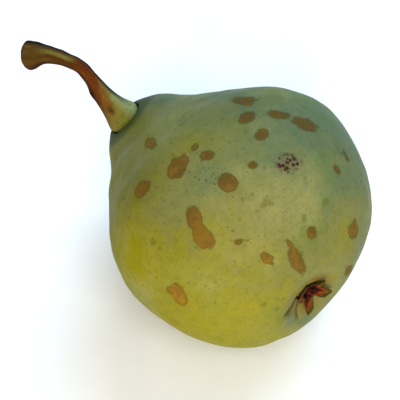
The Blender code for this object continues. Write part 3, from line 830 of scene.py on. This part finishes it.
# Calyx
# What is left of the flower: five sepals round a shallow cup, grown as one with the fruit's end. They are
# thin dead tissue, which dried, curled and wrinkled where it stood.
SEPALS = (  # direction in radians, length and lift of the tip in millimetres
    (0.69, 4.8, 1.4), (1.95, 4.3, 0.8), (3.10, 4.2, 0.7), (4.35, 5.7, 1.7), (5.87, 6.2, 1.5),
)
SEPAL_HALF_ANGLE = 0.6
SEPAL_TAPER = 1.25
SEPAL_BLADE = 0.25 * MM
SEPAL_CURL = 0.5 * MM
SEPAL_SWEEP = 1.6  # how late along a sepal its lift comes
SEPAL_ARCH = 0.8
WRINKLES = ((31, 0.0, 0.12 * MM), (17, 1.0, 0.1 * MM))  # how many round the calyx, start, height
CUP_RIM_DEPTH = 1.7 * MM
CUP_RIM_RADIUS = 1.8 * MM
CUP_OUTER_RADIUS = 2.5 * MM
CUP_FLOOR = (  # depth and radius, in millimetres
    (3.4, 0.0), (3.3, 0.6), (3.2, 1.1), (2.9, 1.35), (2.4, 1.5), (2.0, 1.6),
)
CUP_BACK = ((3.2, 1.0), (4.2, 0.9), (4.3, 0.0))  # depth in millimetres, share of the outer radius
TAN_SIDE = 2.9  # the sepals in this direction are bleached
TAN_REACH = 0.8
TAN_START = (0.15, 0.6)  # shares of a sepal's length between which it sets in
CALYX_COLUMNS = 300
SEPAL_ROWS = 26

calyx_around = np.linspace(0.0, 2.0 * np.pi, CALYX_COLUMNS, endpoint=False)
reach = np.full(CALYX_COLUMNS, CUP_OUTER_RADIUS)
rise = np.zeros(CALYX_COLUMNS)
curl = np.zeros(CALYX_COLUMNS)
for towards, length, lift in SEPALS:
    off = np.abs((calyx_around - towards + np.pi) % (2.0 * np.pi) - np.pi) / SEPAL_HALF_ANGLE
    blade = np.clip(1.0 - off, 0.0, None)
    reach = np.maximum(reach, CUP_OUTER_RADIUS + (length * MM - CUP_OUTER_RADIUS) * blade**SEPAL_TAPER)
    rise = np.maximum(rise, lift * MM * np.minimum(1.0, 2.0 * blade))
    curl = np.maximum(curl, SEPAL_CURL * np.sin(np.pi * blade))
wrinkle = sum(height * np.sin(count * calyx_around + start) for count, start, height in WRINKLES)
shares = np.linspace(0.0, 1.0, SEPAL_ROWS)[:, None]
blade_radius = CUP_RIM_RADIUS + (reach - CUP_RIM_RADIUS) * shares
arch = SEPAL_ARCH * (curl + wrinkle) * np.sin(np.pi * shares)
blade_depth = CUP_RIM_DEPTH - rise * shares**SEPAL_SWEEP + arch
under_radius = np.maximum(blade_radius, CUP_OUTER_RADIUS)


def cup_rings(line, radius_unit):
    """Plain rings round the core, one for each depth and radius in the line."""
    depths, radii = np.array(line).T[:, :, None]
    return placed(depths * MM, radii * radius_unit, calyx_around)


calyx_grid = np.concatenate([
    cup_rings(CUP_FLOOR, MM),
    placed(blade_depth, blade_radius, calyx_around),
    placed((blade_depth + SEPAL_BLADE)[:0:-1], under_radius[:0:-1], calyx_around),
    cup_rings(CUP_BACK, CUP_OUTER_RADIUS),
])
outness = [np.zeros(len(CUP_FLOOR)), shares[:, 0], shares[:0:-1, 0], np.zeros(len(CUP_BACK))]
outness = np.concatenate(outness)[:, None]
off_tan = (calyx_around - TAN_SIDE + np.pi) % (2.0 * np.pi) - np.pi
calyx_fields = {"outness": outness, "tan": bell(off_tan, TAN_REACH) * ease(outness, *TAN_START)}
pear_calyx = skinned("pear_calyx", calyx_grid, calyx_fields)
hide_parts("calyx")
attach(pear_calyx, "root")

# Dried sepal: brittle brown tissue, maroon in the cup, orange along the sepals and olive at their tips, dull
# all over.
SEPAL_COLOURS = ((0.0, "#220302"), (0.25, "#380604"), (0.45, "#66280E"), (0.68, "#6C4210"), (0.88, "#443A0C"))
CRUMPLE_WIDTH = 1.4 * MM

dry, tree = blank_material("dried sepal")
place = add(tree, "TexCoord", out="Object")
own = {label: add(tree, "Attribute", out="Fac", attribute_name=label) for label in calyx_fields}
crumpled = add(tree, "TexNoise", {
    "Vector": place, "Scale": 1.0 / CRUMPLE_WIDTH, "Detail": 4.0, "Roughness": 0.65,
})
dryness = stirred(tree, own["outness"], [(crumpled, 0.5)])
sepal = add(tree, "ValToRGB", {0: dryness}, stops=SEPAL_COLOURS)
sepal = layered(tree, sepal, [(own["tan"], 0.0, 1.0, 0.8, "#6A4A38")])
bump = add(tree, "Bump", {"Height": crumpled, "Strength": 0.7, "Distance": 0.2 * MM})
finish = {"Base Color": sepal, "Roughness": 0.75, "Normal": bump, "Specular IOR Level": 0.2}
add(tree, "OutputMaterial", {"Surface": add(tree, "BsdfPrincipled", finish)})
pear_calyx.data.materials.append(dry)

# Stamens
# The dead stamens: a few thin dry threads that still stand in the cup that they grew in, each bent its own
# way. Each is a round section carried along a short arc from the cup's floor.
STAMENS = 14
STAMEN_RADIUS = 0.13 * MM
STAMEN_FOOT_DEPTH = 3.2 * MM
STAMEN_FOOT_RADII = (0.3, 1.2)  # millimetres from the core
STAMEN_SPREADS = (0.2, 1.4)
STAMEN_HEIGHTS = (1.2, 2.4)
STAMEN_TWIST = 0.3
STAMEN_TAPER = 0.4
STAMEN_SIDE = (0.0, 0.3, 1.0)
STAMEN_FIELDS = {"outness": 0.38, "tan": 0.35}
STAMEN_ROWS = 9
STAMEN_COLUMNS = 8

draw = np.random.default_rng(7)
bearing = draw.uniform(0.0, 2.0 * np.pi, STAMENS)
foot_radius = draw.uniform(*STAMEN_FOOT_RADII, STAMENS) * MM
spread = draw.uniform(*STAMEN_SPREADS, STAMENS) * MM
stamen_share = np.linspace(0.0, 1.0, STAMEN_ROWS)[:, None]
stamen_height = draw.uniform(*STAMEN_HEIGHTS, STAMENS) * MM * np.sin(0.5 * np.pi * stamen_share)
stamen_out = foot_radius + spread * stamen_share**2
stamen_line = placed(STAMEN_FOOT_DEPTH - stamen_height, stamen_out, bearing + STAMEN_TWIST * stamen_share)
stamen_aim = unit(np.gradient(stamen_line, axis=0))
stamen_side = unit(np.cross(stamen_aim, STAMEN_SIDE))
stamen_turn = np.linspace(0.0, 2.0 * np.pi, STAMEN_COLUMNS, endpoint=False)[:, None, None, None]
stamen_ring = stamen_side * np.cos(stamen_turn) + np.cross(stamen_aim, stamen_side) * np.sin(stamen_turn)
stamen_girth = (STAMEN_RADIUS * (1.0 - STAMEN_TAPER * stamen_share))[..., None]
stamen_tubes = np.concatenate([  # turn, row, thread, with a pole at each end
    np.repeat(stamen_line[None, :1], STAMEN_COLUMNS, axis=0),
    stamen_line + stamen_ring * stamen_girth,
    np.repeat(stamen_line[None, -1:], STAMEN_COLUMNS, axis=0),
], axis=1)
stamen_grids = stamen_tubes.transpose(2, 1, 0, 3)
pear_stamens = [skinned(f"stamen {number}", grid, STAMEN_FIELDS) for number, grid in enumerate(stamen_grids)]
for thread in pear_stamens:
    thread.data.materials.append(dry)
with bpy.context.temp_override(active_object=pear_stamens[0], selected_editable_objects=pear_stamens):
    bpy.ops.object.join()
pear_stamens[0].name = "pear_stamens"
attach(pear_stamens[0], "root")

# Floor and light
# A plain pale floor. The warm key stands low in front, below the picture, as the photograph's light does, and
# a cool sky fills from above and behind.
FLOOR_SIZE = 6.0
FLOOR_MOTTLE = 25.0 * MM
FLOOR_COLOURS = ((0.3, "#EEF0F5"), (0.7, "#F4F6FA"))

floor_mesh = bpy.data.meshes.new("floor")
half = FLOOR_SIZE / 2.0
corners = [(-half, -half, 0.0), (half, -half, 0.0), (half, half, 0.0), (-half, half, 0.0)]
floor_mesh.from_pydata(corners, [], [(0, 1, 2, 3)])
floor = bpy.data.objects.new("floor", floor_mesh)
bpy.context.scene.collection.objects.link(floor)

# Pale studio paper: matte, faintly mottled and a little cool.
paper, tree = blank_material("pale studio paper")
mottle = {"Vector": add(tree, "TexCoord", out="Object"), "Scale": 1.0 / FLOOR_MOTTLE, "Detail": 2.0}
paper_colour = add(tree, "ValToRGB", {0: add(tree, "TexNoise", mottle)}, stops=FLOOR_COLOURS)
shader = add(tree, "BsdfPrincipled", {"Base Color": paper_colour, "Roughness": 0.9})
add(tree, "OutputMaterial", {"Surface": shader})
floor_mesh.materials.append(paper)

LIGHTS = (  # name, direction, distance and size in metres, power in watts, colour
    ("key", -0.05 * RIGHT - 0.72 * UP + 0.75 * BACK, 0.9, 0.3, 6.2, "#FFEEC4"),
    ("sky", 0.35 * RIGHT + 0.95 * UP + 0.12 * BACK, 0.8, 0.8, 8.0, "#B8D4EC"),
    ("front", 0.10 * RIGHT - 0.05 * UP + 1.0 * BACK, 1.1, 0.8, 6.0, "#FFFEFA"),
)
for name, towards, distance, size, power, colour in LIGHTS:
    lamp = bpy.data.lights.new(name, "AREA")
    lamp.shape = "DISK"
    lamp.size = size
    lamp.energy = power
    lamp.color = linear(colour)[:3]
    holder = bpy.data.objects.new(name, lamp)
    towards = unit(towards)
    holder.location = PHOTO_POINT + towards * distance
    holder.rotation_euler = turned_to(towards)
    bpy.context.scene.collection.objects.link(holder)

WORLD_COLOUR = "#F6F6F6"
WORLD_STRENGTH = 0.34

world = bpy.data.worlds.new("studio")
world.use_nodes = True
world.node_tree.nodes["Background"].inputs["Color"].default_value = linear(WORLD_COLOUR)
world.node_tree.nodes["Background"].inputs["Strength"].default_value = WORLD_STRENGTH
bpy.context.scene.world = world
bpy.context.scene.view_settings.view_transform = "Standard"
bpy.context.scene.view_settings.look = "Medium High Contrast"
